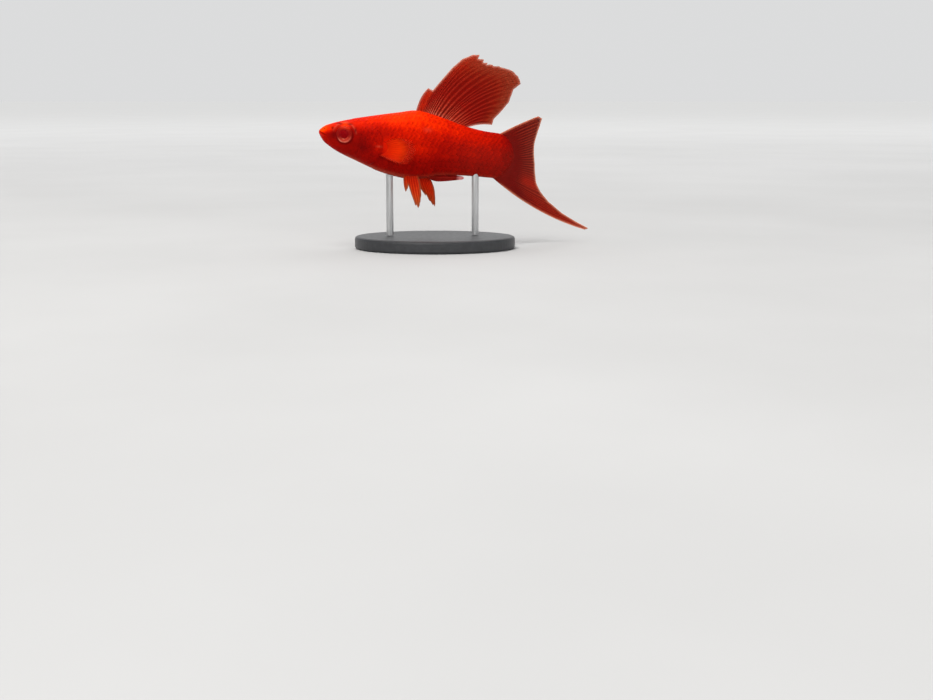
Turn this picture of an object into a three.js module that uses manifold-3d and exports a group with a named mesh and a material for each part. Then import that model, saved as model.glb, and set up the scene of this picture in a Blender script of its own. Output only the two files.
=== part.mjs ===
// A life-size red high-fin male swordtail, held in its swimming pose by two short rods on a flat base.
// Units are millimetres, +Z is up, and the origin is the centre of the base's underside.
// The fish is drawn in its own frame first: x runs from the snout tip to the tail, z is up, -y is its left side.
// It is then bent sideways at the tail, tilted head up, and set over the base.

import * as THREE from "three";
import { mergeVertices } from "three/addons/utils/BufferGeometryUtils.js";
import Module from "manifold-3d";

const wasm = await Module();
wasm.setup();

// Driving dimensions

const bodyLength = 63.3; // snout tip to the end of the scaled tail base
const touchGap = 0.3; // between nodes that touch
const pitchDegrees = 7; // head above tail
const noseHeight = 38; // of the snout tip over the floor

const eyeCentre = new THREE.Vector3(8.65, 0, -0.4);
const eyeRadius = 2.75;
const eyeDepth = 1.05; // half thickness of the flattened eyeball
const eyeSink = 0.35; // of its centre below the cheek

const headEnd = 18.2; // the cut behind the head, which the gill covers overhang
const trunkEnd = 47.4; // the cut behind the dorsal fin
const gillRise = 0.4; // of the gill cover's hind edge over the flank
const gillPlate = 0.9; // thickness of that edge under the flank's own surface
const gillBedStations = [15, 17, 19, 21, 23]; // along the body under the gill covers

const mouthDepth = 2.5; // of the slit behind the snout tip
const mouthSlope = 0.4; // how steeply it falls
const mouthOpening = 0.35;
const nostrilPlace = { x: 4.5, angle: 1.1 }; // the angle is measured from the back
const nostrilRadius = 0.4;

const membraneHalf = 0.27; // half thickness of the fin skin
const rayHalf = 0.46; // half thickness where a fin ray crosses it

const baseLength = 52;
const baseWidth = 36;
const baseHeight = 4;
const baseBevel = 0.8;
const baseSides = 96; // of the oval
const baseUnderFish = 37; // how far behind the snout tip the base is centred
const rodRadius = 1.15;
const rodSides = 36;
const rodStations = { stand_rod_front: 24, stand_rod_rear: 51.5 };

// Smooth curve through [x, value] points

function curveThrough(points) {
  const last = points.length - 1;
  const slope = (i) => {
    const [a, b] = [points[Math.max(i - 1, 0)], points[Math.min(i + 1, last)]];
    return (b[1] - a[1]) / (b[0] - a[0]);
  };
  return (x) => {
    let i = 0;
    while (i < last - 1 && x > points[i + 1][0]) i++;
    const width = points[i + 1][0] - points[i][0];
    const t = THREE.MathUtils.clamp((x - points[i][0]) / width, 0, 1);
    const rise = t * t * (3 - 2 * t);
    return (
      points[i][1] * (1 - rise) +
      points[i + 1][1] * rise +
      width * slope(i) * t * (1 - t) * (1 - t) -
      width * slope(i + 1) * t * t * (1 - t)
    );
  };
}

// The body's lines, seen from the side and from above

const backLine = curveThrough([
  [0, 0.9],
  [2.5, 2.0],
  [5, 3.05],
  [8.5, 4.25],
  [12.4, 5.35],
  [18.6, 7.0],
  [24.8, 8.55],
  [30.3, 9.8],
  [37.5, 8.9],
  [45.9, 6.9],
  [52, 6.0],
  [57.4, 5.8],
  [63.3, 5.8],
]);
const bellyLine = curveThrough([
  [0, -1.9],
  [2.5, -3.9],
  [6.8, -6.2],
  [13.4, -8.5],
  [19.4, -10.4],
  [24.1, -11.4],
  [28.6, -11.9],
  [33, -11.6],
  [36.5, -10.8],
  [39.5, -9.8],
  [43, -9.3],
  [48, -8.8],
  [56.4, -8.6],
  [63.3, -8.8],
]);
const halfWidth = curveThrough([
  [0, 1.9],
  [2.5, 2.5],
  [8.5, 3.9],
  [14, 4.7],
  [20, 5.2],
  [26, 5.3],
  [33, 4.7],
  [40, 3.6],
  [47, 2.7],
  [54, 1.9],
  [59, 1.15],
  [63.3, 0.5],
]);
const topFullness = curveThrough([
  [0, 0.8],
  [10, 0.8],
  [20, 1.0],
  [32, 1.25],
  [63, 1.1],
]);
const bottomFullness = curveThrough([
  [0, 0.9],
  [12, 1.05],
  [28, 0.95],
  [42, 1.2],
  [63, 1.1],
]);
const widestShare = 0.56; // height of the widest line between belly and back
const noseRounding = 2.4; // length over which the snout closes
const tailRounding = 6.3; // length over which the scaled tail base closes, as an arc
const tailArcCentre = -1.7; // height of that arc's middle

// How far the rim of the eye and the lips stand out at a place on the head's side
function headRelief(x, z) {
  const fromEye = Math.hypot(x - eyeCentre.x, z - eyeCentre.z);
  const rim = 0.28 * Math.exp(-(((fromEye - eyeRadius - 0.45) / 0.45) ** 2));
  const offMouth = Math.abs(z - mouthHeight(x)) - 0.5;
  const lip = x < 3 ? 0.2 * Math.exp(-((offMouth / 0.35) ** 2)) : 0;
  return rim + lip;
}

function mouthHeight(x) {
  return -0.25 - mouthSlope * x;
}

// The gill cover's share of its full rise, which grows from the cheek back to its hind edge
function gillShare(x, z) {
  return THREE.MathUtils.smoothstep(x, 11.8, 18.5) * THREE.MathUtils.smoothstep(3.6 - z, 0, 1.8);
}

// A point of the body's surface, grown outwards by grow, with the gill cover raised by rise.
// angle 0 is the back and a quarter turn is the +y flank.
function bodyPoint(x, angle, grow, rise) {
  const [up, side] = [Math.cos(angle), Math.sin(angle)];
  const noseShare = Math.min(Math.max(x, 0) / noseRounding, 1);
  const nose = Math.sqrt(1 - (1 - noseShare) ** 2);
  const tailShare = Math.max(x - bodyLength + tailRounding, 0) / tailRounding;
  const tail = Math.sqrt(Math.max(1 - tailShare ** 2, 0.02));
  let [top, bottom] = [backLine(x), bellyLine(x)];
  const middle = tailShare > 0 ? tailArcCentre : (top + bottom) / 2;
  top = middle + (top - middle) * nose * tail + grow;
  bottom = middle + (bottom - middle) * nose * tail - grow;
  const widest = bottom + (top - bottom) * widestShare;
  const z =
    up > 0
      ? widest + (top - widest) * up ** topFullness(x)
      : widest - (widest - bottom) * (-up) ** bottomFullness(x);
  const relief = headRelief(x, z) + rise * gillShare(x, z);
  const flank = halfWidth(x) * nose + grow + relief * side * side;
  const along = x + grow * (2 * (x / bodyLength) - 1);
  return new THREE.Vector3(along, flank * side, z);
}

// Stations along the body, closer together on the head and at the tail's end
function bodyStations() {
  const stations = [];
  let x = 0.12;
  while (x < bodyLength - 0.25) {
    stations.push(x);
    if (x < 3) x += 0.35 + 0.15 * x;
    else if (x < headEnd + 3) x += 1;
    else if (x < bodyLength - tailRounding) x += 2.6;
    else x += 0.35 + (bodyLength - x) * 0.16;
  }
  stations.push(bodyLength);
  return stations;
}

// Closed skin over rings of points, with a point at each end
function loft(rings, first, last) {
  const count = rings[0].length;
  const points = [first, ...rings.flat(), last];
  const index = [];
  const at = (ring, i) => 1 + ring * count + (i % count);
  for (let i = 0; i < count; i++) {
    index.push(0, at(0, i), at(0, i + 1));
    index.push(points.length - 1, at(rings.length - 1, i + 1), at(rings.length - 1, i));
    for (let ring = 0; ring < rings.length - 1; ring++) {
      index.push(at(ring, i), at(ring + 1, i), at(ring, i + 1));
      index.push(at(ring, i + 1), at(ring + 1, i), at(ring + 1, i + 1));
    }
  }
  return new THREE.BufferGeometry().setFromPoints(points).setIndex(index);
}

function bodyRings(stations, grow, rise) {
  const sides = 32;
  return stations.map((x) =>
    Array.from({ length: sides }, (_, i) => bodyPoint(x, (i / sides) * 2 * Math.PI, grow, rise)),
  );
}

function bodyGeometry(grow, rise) {
  const rings = bodyRings(bodyStations(), grow, rise);
  const noseTip = new THREE.Vector3(-grow, 0, (backLine(0) + bellyLine(0)) / 2);
  const tailEnd = new THREE.Vector3(bodyLength + grow + 0.1, 0, tailArcCentre);
  return loft(rings, noseTip, tailEnd);
}

// Geometry to solid and back

function solid(geometry) {
  const bare = new THREE.BufferGeometry();
  bare.setAttribute("position", geometry.getAttribute("position").clone());
  bare.setIndex(geometry.index);
  const merged = mergeVertices(bare, 1e-4);
  const made = new wasm.Manifold(
    new wasm.Mesh({
      numProp: 3,
      vertProperties: new Float32Array(merged.attributes.position.array),
      triVerts: new Uint32Array(merged.index.array),
    }),
  );
  if (made.volume() < 0) throw new Error("faces point inwards");
  return made;
}

function largest(manifold) {
  return manifold.decompose().reduce((a, b) => (a.volume() > b.volume() ? a : b));
}

function geometryOf(manifold) {
  const mesh = manifold.getMesh();
  const positions = new Float32Array(mesh.vertProperties);
  return new THREE.BufferGeometry()
    .setAttribute("position", new THREE.BufferAttribute(positions, 3))
    .setIndex(new THREE.BufferAttribute(new Uint32Array(mesh.triVerts), 1));
}

// The sideways bend: the tail swings towards +y, and the sword trails back in line

const bend = { start: 24, peak: 68, power: 2.2, peakSlope: 0.7, tip: 92, tipSlope: 0.1 };

function bendSlope(x) {
  if (x <= bend.start) return 0;
  if (x <= bend.peak)
    return bend.peakSlope * ((x - bend.start) / (bend.peak - bend.start)) ** bend.power;
  const past = (x - bend.peak) / (bend.tip - bend.peak);
  return bend.peakSlope + (bend.tipSlope - bend.peakSlope) * Math.min(past, 1);
}

function bendOffset(x) {
  if (x <= bend.start) return 0;
  const reach = bend.peak - bend.start;
  const share = Math.min((x - bend.start) / reach, 1);
  const rising = (bend.peakSlope * reach * share ** (bend.power + 1)) / (bend.power + 1);
  if (x <= bend.peak) return rising;
  const past = x - bend.peak;
  const change = (bend.tipSlope - bend.peakSlope) / (bend.tip - bend.peak);
  return rising + bend.peakSlope * past + (change * past * past) / 2;
}

function bent(geometry) {
  const position = geometry.getAttribute("position");
  const p = new THREE.Vector3();
  for (let i = 0; i < position.count; i++) {
    p.fromBufferAttribute(position, i);
    const turn = Math.atan(bendSlope(p.x));
    position.setXYZ(
      i,
      p.x - p.y * Math.sin(turn),
      bendOffset(p.x) + p.y * Math.cos(turn),
      p.z,
    );
  }
  return geometry;
}

// Fins: a fan of rays, each from a root to a tip, with the skin between them

// rays: [rootX, rootZ, midX, midZ, tipX, tipZ], from the leading edge back; each ray bows through its mid.
// lean(u, v) is the sideways place at ray share u and length share v.
function finGeometry({ rays, rows, lean, perRay = 3, rootHalf = 0.6, notch = 0.02 }) {
  const columns = (rays.length - 1) * perRay; // one on each ray and the others on the skin after it
  const faces = [[], []];
  for (let c = 0; c <= columns; c++) {
    const i = Math.min(Math.floor(c / perRay), rays.length - 2);
    const share = c / perRay - i;
    const [rootX, rootZ, midX, midZ, tipX, tipZ] = rays[i].map((from, k) =>
      THREE.MathUtils.lerp(from, rays[i + 1][k], share),
    );
    const onRay = c % perRay === 0;
    const full = onRay ? rayHalf : membraneHalf;
    for (let r = 0; r <= rows; r++) {
      const v = (r / rows) * (onRay ? 1 : 1 - notch);
      const [atRoot, atMid, atTip] = [(1 - v) * (1 - 2 * v), 4 * v * (1 - v), v * (2 * v - 1)];
      const x = rootX * atRoot + midX * atMid + tipX * atTip;
      const z = rootZ * atRoot + midZ * atMid + tipZ * atTip;
      const root = Math.max(1 - v * 4, 0) * (rootHalf - full);
      const half = full * (1 - 0.45 * Math.max(v - 0.4, 0) / 0.6) + Math.max(root, 0);
      const y = lean(c / columns, v);
      faces[0].push(new THREE.Vector3(x, y - half, z));
      faces[1].push(new THREE.Vector3(x, y + half, z));
    }
  }
  const stride = rows + 1;
  const other = faces[0].length;
  const index = [];
  const quad = (a, b, c, d) => index.push(a, b, c, a, c, d);
  for (let c = 0; c < columns; c++)
    for (let r = 0; r < rows; r++) {
      const [a, b] = [c * stride + r, (c + 1) * stride + r];
      quad(a, a + 1, b + 1, b);
      index.push(other + a, other + b + 1, other + a + 1, other + a, other + b, other + b + 1);
    }
  const edge = [];
  for (let r = 0; r < rows; r++) edge.push(r);
  for (let c = 0; c < columns; c++) edge.push(c * stride + rows);
  for (let r = rows; r > 0; r--) edge.push(columns * stride + r);
  for (let c = columns; c > 0; c--) edge.push(c * stride);
  edge.forEach((from, i) => {
    const to = edge[(i + 1) % edge.length];
    quad(from, from + other, to + other, to);
  });
  const geometry = new THREE.BufferGeometry().setFromPoints(faces.flat()).setIndex(index);
  return facingOut(geometry);
}

// Turns every face round if the whole is inside out
function facingOut(geometry) {
  const [a, b, c] = [new THREE.Vector3(), new THREE.Vector3(), new THREE.Vector3()];
  const { index } = geometry;
  const position = geometry.getAttribute("position");
  let volume = 0;
  for (let i = 0; i < index.count; i += 3) {
    a.fromBufferAttribute(position, index.getX(i));
    b.fromBufferAttribute(position, index.getX(i + 1));
    c.fromBufferAttribute(position, index.getX(i + 2));
    volume += a.dot(b.cross(c));
  }
  if (volume < 0)
    for (let i = 0; i < index.count; i += 3) {
      const second = index.getX(i + 1);
      index.setX(i + 1, index.getX(i + 2));
      index.setX(i + 2, second);
    }
  return geometry;
}

const dorsalFin = {
  rays: [
    [30, 8, 31.1, 13.6, 33.3, 17.3],
    [31.8, 8, 33.1, 12.6, 34.8, 16.8],
    [32.3, 8, 34.4, 14.5, 37.3, 20.5],
    [32.6, 7.9, 36, 16.6, 40.2, 24.6],
    [33, 7.9, 37.5, 18.6, 43.2, 27.8],
    [33.5, 7.9, 38.8, 20.1, 46.3, 29.4],
    [34, 7.8, 39.9, 20.9, 48.4, 29.7],
    [34.9, 7.6, 41.1, 20.4, 50.8, 27.7],
    [35.7, 7.5, 42.6, 19.8, 52.8, 27.2],
    [37, 7.2, 45.2, 19, 56.2, 26.9],
    [38.4, 6.8, 47.6, 18, 59.9, 26],
    [39.1, 6.7, 48.6, 17.3, 62, 24.6],
    [39.8, 6.5, 49.4, 16.4, 63.2, 22.4],
    [41, 6.2, 50.5, 14.9, 60.8, 20.3],
    [42.2, 6, 50.9, 13, 59.8, 16.1],
    [43.2, 5.7, 50.8, 11.2, 57.4, 12.5],
    [44.2, 5.5, 50.3, 9.4, 55.4, 10.2],
    [45.2, 5.3, 49.9, 7.6, 55, 8.2],
  ],
  rows: 7,
  lean: (u, v) => 1.2 * v * v * Math.sin(2.6 * u + 0.5),
};
const caudalFin = {
  rays: [
    [55.7, 4.3, 62.6, 8.8, 69.9, 12.8],
    [57.4, 3.9, 64.3, 8.5, 71.3, 12.2],
    [59, 3.2, 65.3, 6.7, 71, 9.6],
    [60.2, 2.2, 65.7, 4.9, 70.6, 7.3],
    [61.1, 1.3, 66, 3.2, 70.3, 5.2],
    [61.8, 0.3, 66.3, 1.6, 70.2, 3.3],
    [62.2, -0.7, 66.5, 0.1, 70.4, 1.3],
    [62.4, -1.8, 66.8, -1.5, 70.8, -0.8],
    [62.4, -2.8, 67, -3, 71.2, -2.9],
    [62.3, -3.9, 67.2, -4.5, 71.5, -5],
    [62.1, -4.8, 67.3, -6, 71.9, -7.1],
    [61.7, -5.7, 67.4, -7.4, 72.3, -8.9],
    [61.1, -6.3, 67.2, -8.6, 73.2, -10.6],
    [60.5, -6.9, 67.1, -9.6, 74.1, -11.9],
  ],
  rows: 5,
  lean: (u, v) => 0.9 * v * v * Math.sin(Math.PI * u),
};
const tailSword = {
  rays: [
    [60.4, -7.2, 67, -9.95, 74, -12.3],
    [60, -7.3, 67.8, -11, 77.2, -14.8],
    [59.7, -7.4, 69.2, -12.4, 82.3, -18.2],
    [59.1, -7.5, 71, -14, 87.5, -20.6],
    [58.3, -7.5, 72.8, -15.5, 91.2, -22],
    [57.2, -7.6, 73.5, -16.8, 92.3, -22.4],
    [56, -7.7, 73.5, -17.7, 91.1, -23],
  ],
  rows: 11,
  lean: () => 0,
  notch: 0,
};
const pelvicFins = {
  pelvic_fin_left: {
    rays: [
      [28.7, -10.2, 28.9, -13.2, 30, -16],
      [29.5, -10.1, 30.1, -12.4, 30.7, -14.2],
      [30.4, -10, 31.5, -14.8, 33.4, -19.8],
      [31.2, -9.9, 32.7, -14.9, 34.6, -20.7],
      [32.1, -9.8, 33.8, -14.8, 34.9, -19.2],
      [32.8, -9.7, 34.2, -13.2, 34.9, -16.4],
    ],
    side: -1,
  },
  pelvic_fin_right: {
    rays: [
      [32.6, -10.1, 33.5, -12.8, 34.8, -15.3],
      [33.4, -10, 35.1, -13.8, 36.9, -17.6],
      [34.1, -9.9, 36.7, -14.6, 39.3, -19.9],
      [34.9, -9.8, 37.7, -14.9, 40.1, -20.3],
      [35.6, -9.8, 38.3, -14.4, 40, -18.4],
      [36.3, -9.8, 38.2, -12.6, 39.4, -15.4],
    ],
    side: 1,
  },
};
const pelvicSplay = 3.4; // of each tip away from the keel
const pectoralRays = [
  [19.6, -2.2, 22.6, -0.3, 25.6, 1],
  [19.6, -2.6, 24, -0.3, 28.2, 1.3],
  [19.6, -3, 25, -1, 30.2, 0.7],
  [19.6, -3.3, 25.7, -1.9, 31.5, -0.6],
  [19.6, -3.7, 25.9, -2.9, 32.1, -2.1],
  [19.6, -4.1, 25.7, -4, 31.8, -3.8],
  [19.6, -4.4, 25.3, -5.2, 31.2, -5.8],
  [19.6, -4.8, 24.6, -6, 29.9, -7],
  [19.6, -5.2, 23.4, -6.4, 27.4, -7.5],
];
const pectoralSplay = 4.6; // of its tips away from the flank

// The separate solids of the fish, still straight

const body = solid(bodyGeometry(0, 0));
const grownBody = solid(bodyGeometry(touchGap, 0));

function slab(from, to) {
  return solid(new THREE.BoxGeometry(to - from, 60, 80).translate((from + to) / 2, 0, 0));
}

// The hind edge of the gill cover, seen from the side and wider by grow, run out over both flanks
function gillPrism(grow) {
  const edge = [
    [17.2, 3.1],
    [18.9, 2.7],
    [20.1, 1.3],
    [20.8, -0.9],
    [20.9, -3.3],
    [20.5, -5.6],
    [19.5, -7.5],
    [17.2, -9.2],
  ];
  const middle = new THREE.Vector2(16, -3.2);
  const points = edge.map(([x, z]) => {
    const out = new THREE.Vector2(x, z).sub(middle);
    return out.setLength(out.length() + grow).add(middle);
  });
  const outline = new THREE.Shape(new THREE.SplineCurve(points).getPoints(14));
  const prism = new THREE.ExtrudeGeometry(outline, { depth: 30, bevelEnabled: false });
  return solid(prism.rotateX(Math.PI / 2).translate(0, 15, 0));
}

// The body under the gill covers, sunk below the flank's surface
function gillBed(depth) {
  const rings = bodyRings(gillBedStations, -depth, 0);
  const front = new THREE.Vector3(gillBedStations.at(0) - 0.1, 0, -2);
  const back = new THREE.Vector3(gillBedStations.at(-1) + 0.1, 0, -2);
  return solid(loft(rings, front, back));
}

// The eyeball, or with grow its socket
function eyeball(side, grow) {
  const cheek = halfWidth(eyeCentre.x);
  const turn = Math.atan((halfWidth(eyeCentre.x + 2) - halfWidth(eyeCentre.x - 2)) / 4);
  const geometry = new THREE.SphereGeometry(1, 20, 10)
    .rotateX(Math.PI / 2)
    .scale(eyeRadius + grow, eyeDepth + grow, eyeRadius + grow)
    .rotateX(-0.1 * side)
    .rotateZ(side * turn)
    .translate(eyeCentre.x, side * (cheek - eyeSink), eyeCentre.z);
  return solid(geometry);
}

// The mouth's slit, which starts out of the snout tip and runs down and back to its corner
function mouthSlit() {
  const ahead = 2;
  const middle = (mouthDepth - ahead) / 2;
  const slit = new THREE.BoxGeometry(mouthDepth + ahead, 12, mouthOpening);
  slit.rotateY(Math.atan(mouthSlope));
  slit.translate(middle, 0, mouthHeight(middle));
  return solid(slit);
}

function nostril(side) {
  const place = bodyPoint(nostrilPlace.x, side * nostrilPlace.angle, 0, 0);
  const pit = new THREE.SphereGeometry(nostrilRadius, 8, 6);
  return solid(pit.translate(place.x, place.y, place.z));
}

function makeHead() {
  const raised = solid(bodyGeometry(0, gillRise));
  let head = raised.intersect(slab(-5, headEnd));
  const hindEdge = raised.intersect(gillPrism(0)).intersect(slab(headEnd - 0.3, 30));
  head = head.add(hindEdge.subtract(gillBed(gillPlate)));
  for (const side of [-1, 1]) head = head.subtract(eyeball(side, touchGap)).subtract(nostril(side));
  return head.subtract(mouthSlit());
}

function makeTrunk() {
  const trunk = body.intersect(slab(headEnd + touchGap, trunkEnd));
  const pocket = gillPrism(touchGap).subtract(gillBed(gillPlate + touchGap));
  return trunk.subtract(pocket);
}

function makeFin(shape) {
  return solid(finGeometry(shape)).subtract(grownBody);
}

function makePectoral(side) {
  const root = side * (halfWidth(21) - 1.5);
  const lean = (u, v) =>
    root + side * (pectoralSplay * v * (1.3 - 0.3 * v) + 0.7 * Math.sin(Math.PI * u) * v * v);
  return makeFin({ rays: pectoralRays, rows: 6, perRay: 2, lean });
}

function makePelvic({ rays, side }) {
  const lean = (u, v) => side * (1.4 + pelvicSplay * v - 0.5 * v * v);
  return makeFin({ rays, rows: 6, perRay: 2, lean });
}

// The gonopodium, the male's rod-like anal fin, laid back along the belly
function makeGonopodium() {
  const height = curveThrough([
    [36.8, -10.4],
    [39, -10.65],
    [42, -10.5],
    [45, -10.1],
    [47.6, -9.8],
  ]);
  const half = curveThrough([
    [36.8, 0.9],
    [39, 1.1],
    [42, 1],
    [45, 0.8],
    [47.6, 0.5],
  ]);
  const sides = 12;
  const rings = [36.8, 37.8, 39, 40.5, 42, 43.5, 45, 46, 47, 47.6].map((x) =>
    Array.from({ length: sides }, (_, i) => {
      const angle = (i / sides) * 2 * Math.PI;
      const ridge = 1 + 0.08 * Math.cos(4 * angle);
      const across = 0.62 * half(x) * ridge * Math.sin(angle);
      return new THREE.Vector3(x, across, height(x) + half(x) * ridge * Math.cos(angle));
    }),
  );
  const first = new THREE.Vector3(36.6, 0, -10.3);
  const last = new THREE.Vector3(48, 0, -9.75);
  return solid(loft(rings, first, last)).subtract(grownBody);
}

// Materials

const paint = (color, roughness) =>
  new THREE.MeshStandardMaterial({ color, roughness, metalness: 0 });
const skin = paint(0xd8230c, 0.42);
const finSkin = paint(0xa32412, 0.5);
const paleFin = paint(0xe8521c, 0.5);
const eyeGloss = paint(0x6e0d14, 0.12);
const standPaint = paint(0x26282b, 0.45);
const rodSteel = new THREE.MeshStandardMaterial({
  color: 0xb9bcc0,
  roughness: 0.3,
  metalness: 0.9,
});

// The fish, bent and tilted

const fish = new THREE.Group();
fish.rotation.y = THREE.MathUtils.degToRad(pitchDegrees);
fish.position.set(-baseUnderFish, 0, noseHeight);
fish.updateMatrixWorld(true);

function addPart(name, manifold, material) {
  const mesh = new THREE.Mesh(bent(geometryOf(largest(manifold))), material);
  mesh.name = name;
  fish.add(mesh);
}

addPart("head", makeHead(), skin);
addPart("eye_left", eyeball(-1, 0), eyeGloss);
addPart("eye_right", eyeball(1, 0), eyeGloss);
addPart("trunk", makeTrunk(), skin);
addPart("tail", body.intersect(slab(trunkEnd + touchGap, 80)), skin);
addPart("dorsal_fin", makeFin(dorsalFin), finSkin);
addPart("caudal_fin", makeFin(caudalFin), finSkin);
addPart("tail_sword", makeFin(tailSword), finSkin);
addPart("pectoral_fin_left", makePectoral(-1), paleFin);
addPart("pectoral_fin_right", makePectoral(1), paleFin);
for (const [name, shape] of Object.entries(pelvicFins))
  addPart(name, makePelvic(shape), paleFin);
addPart("gonopodium", makeGonopodium(), finSkin);

// The stand

function makeBase() {
  const outline = new THREE.Shape();
  outline.absellipse(0, 0, baseLength / 2 - baseBevel, baseWidth / 2 - baseBevel, 0, 2 * Math.PI);
  const slabGeometry = new THREE.ExtrudeGeometry(outline, {
    depth: baseHeight - 2 * baseBevel,
    bevelSize: baseBevel,
    bevelThickness: baseBevel,
    bevelSegments: 2,
    curveSegments: baseSides / 2,
  });
  return slabGeometry.translate(0, 0, baseBevel);
}

// A rod from the base up to the belly, its top cut to the belly's curve
function makeRod(station) {
  const atBelly = new THREE.Vector3(station, 0, bellyLine(station));
  const turn = Math.atan(bendSlope(station));
  atBelly.y = bendOffset(station);
  fish.localToWorld(atBelly);
  const [bottom, top] = [baseHeight + touchGap, atBelly.z + 4];
  const rod = new THREE.CylinderGeometry(rodRadius, rodRadius, top - bottom, rodSides)
    .rotateX(Math.PI / 2)
    .rotateZ(turn)
    .translate(atBelly.x, atBelly.y, (top + bottom) / 2);
  const belly = bent(geometryOf(grownBody)).applyMatrix4(fish.matrixWorld);
  return solid(rod).subtract(solid(belly));
}

function addStand(name, geometry, material) {
  const mesh = new THREE.Mesh(geometry, material);
  mesh.name = name;
  swordtail.add(mesh);
}

const swordtail = new THREE.Group();
swordtail.add(fish);
addStand("stand_base", makeBase(), standPaint);
for (const [name, station] of Object.entries(rodStations)) {
  const pieces = makeRod(station).decompose();
  const lowest = pieces.reduce((a, b) =>
    a.boundingBox().min[2] < b.boundingBox().min[2] ? a : b,
  );
  addStand(name, geometryOf(lowest), rodSteel);
}

export default swordtail;
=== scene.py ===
"""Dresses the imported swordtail: one skin, scales, fins, eyes, stand, floor, lights and camera.

The fish is drawn as in the part's source, in millimetres in its own straight frame: x from the snout tip
to the tail, z up, -y its left side. It is then bent, tilted, set over the stand and scaled to metres.
"""

import math

import bpy
import numpy as np
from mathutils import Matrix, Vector


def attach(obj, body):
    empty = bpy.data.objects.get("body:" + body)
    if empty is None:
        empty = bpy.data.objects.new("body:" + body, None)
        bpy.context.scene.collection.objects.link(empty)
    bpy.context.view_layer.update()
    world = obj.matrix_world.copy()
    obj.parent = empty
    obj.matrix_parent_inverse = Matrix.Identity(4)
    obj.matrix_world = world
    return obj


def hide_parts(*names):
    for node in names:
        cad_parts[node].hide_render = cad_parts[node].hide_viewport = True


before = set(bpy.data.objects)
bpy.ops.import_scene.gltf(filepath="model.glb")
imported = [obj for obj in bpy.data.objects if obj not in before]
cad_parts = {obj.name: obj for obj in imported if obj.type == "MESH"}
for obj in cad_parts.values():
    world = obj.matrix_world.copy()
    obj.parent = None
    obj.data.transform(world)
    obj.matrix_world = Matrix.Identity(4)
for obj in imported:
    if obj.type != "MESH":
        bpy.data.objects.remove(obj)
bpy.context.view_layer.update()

SIDES = ((-1, "left"), (1, "right"))  # sign of y and its name

# Sizes shared with the part's source, in millimetres
BODY_LENGTH = 63.3
PITCH = math.radians(7)
NOSE_HEIGHT = 38
BASE_UNDER_FISH = 37
EYE_X, EYE_Z = 8.65, -0.4
EYE_RADIUS = 2.75
EYE_DEPTH = 1.05
EYE_SINK = 0.35
EYE_DOWN = 0.1  # radians that it looks down
NOSE_ROUNDING = 2.4
TAIL_ROUNDING = 6.3
TAIL_ARC_CENTRE = -1.7
WIDEST_SHARE = 0.56
BEND_START, BEND_PEAK, BEND_POWER = 24, 68, 2.2
PEAK_SLOPE, BEND_TIP, TIP_SLOPE = 0.7, 92, 0.1

# Sizes of the fine forms, in millimetres
EYE_OPENING = 2.58  # radius of the skin's edge round the eye
PUPIL_LIFT, PUPIL_SHIFT = 0.13, 0.13  # of the eye's dark disc, up and back from its middle
GILL_RISE = 0.36
SCALE_PITCH = 1.5
SCALE_ROWS = 13  # on each side
SCALE_STEPS = 8  # points along and across one scale
SCALE_THICKNESS = 0.08
SCALE_LENGTH = 1.66  # pitches
SCALE_WIDTH = 0.64  # from its middle to its side, in rows
SCALE_VARIETY = 0.05  # how far their size and place differ
SCALES_FROM, SCALES_TO = 7.5, BODY_LENGTH - 2.2  # x of their roots


def curve(points):
    """Smooth curve through (x, value) points, as the part's source draws it."""
    xs, ys = np.array(points, float).T
    slopes = np.empty_like(ys)
    slopes[1:-1] = (ys[2:] - ys[:-2]) / (xs[2:] - xs[:-2])
    slopes[0] = (ys[1] - ys[0]) / (xs[1] - xs[0])
    slopes[-1] = (ys[-1] - ys[-2]) / (xs[-1] - xs[-2])

    def at(x):
        x = np.asarray(x, float)
        i = np.clip(np.searchsorted(xs, x, side="left") - 1, 0, len(xs) - 2)
        width = xs[i + 1] - xs[i]
        t = np.clip((x - xs[i]) / width, 0, 1)
        rise = t * t * (3 - 2 * t)
        level = ys[i] * (1 - rise) + ys[i + 1] * rise
        lean = slopes[i] * t * (1 - t) ** 2 - slopes[i + 1] * t * t * (1 - t)
        return level + width * lean

    return at


back_line = curve(
    [
        (0, 0.9), (2.5, 2.0), (5, 3.05), (8.5, 4.25), (12.4, 5.35), (18.6, 7.0), (24.8, 8.55),
        (30.3, 9.8), (37.5, 8.9), (45.9, 6.9), (52, 6.0), (57.4, 5.8), (63.3, 5.8),
    ]
)
belly_line = curve(
    [
        (0, -1.9), (2.5, -3.9), (6.8, -6.2), (13.4, -8.5), (19.4, -10.4), (24.1, -11.4),
        (28.6, -11.9), (33, -11.6), (36.5, -10.8), (39.5, -9.8), (43, -9.3), (48, -8.8),
        (56.4, -8.6), (63.3, -8.8),
    ]
)
half_width = curve(
    [
        (0, 1.9), (2.5, 2.5), (8.5, 3.9), (14, 4.7), (20, 5.2), (26, 5.3), (33, 4.7), (40, 3.6),
        (47, 2.7), (54, 1.9), (59, 1.15), (63.3, 0.5),
    ]
)
top_fullness = curve([(0, 0.8), (10, 0.8), (20, 1.0), (32, 1.25), (63, 1.1)])
bottom_fullness = curve([(0, 0.9), (12, 1.05), (28, 0.95), (42, 1.2), (63, 1.1)])
gill_edge = curve(
    [(-9.6, 16.4), (-7.5, 19.4), (-5.6, 20.5), (-3.3, 20.9), (-0.9, 20.8), (1.3, 20.1), (3.1, 17.6)]
)


def smooth(low, high, x):
    """0 up to low, then a soft rise to 1 at high."""
    t = np.clip((x - low) / (high - low), 0, 1)
    return t * t * (3 - 2 * t)


def hump(x, middle, width):
    """A bell of height 1."""
    return np.exp(-(((x - middle) / width) ** 2))


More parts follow.
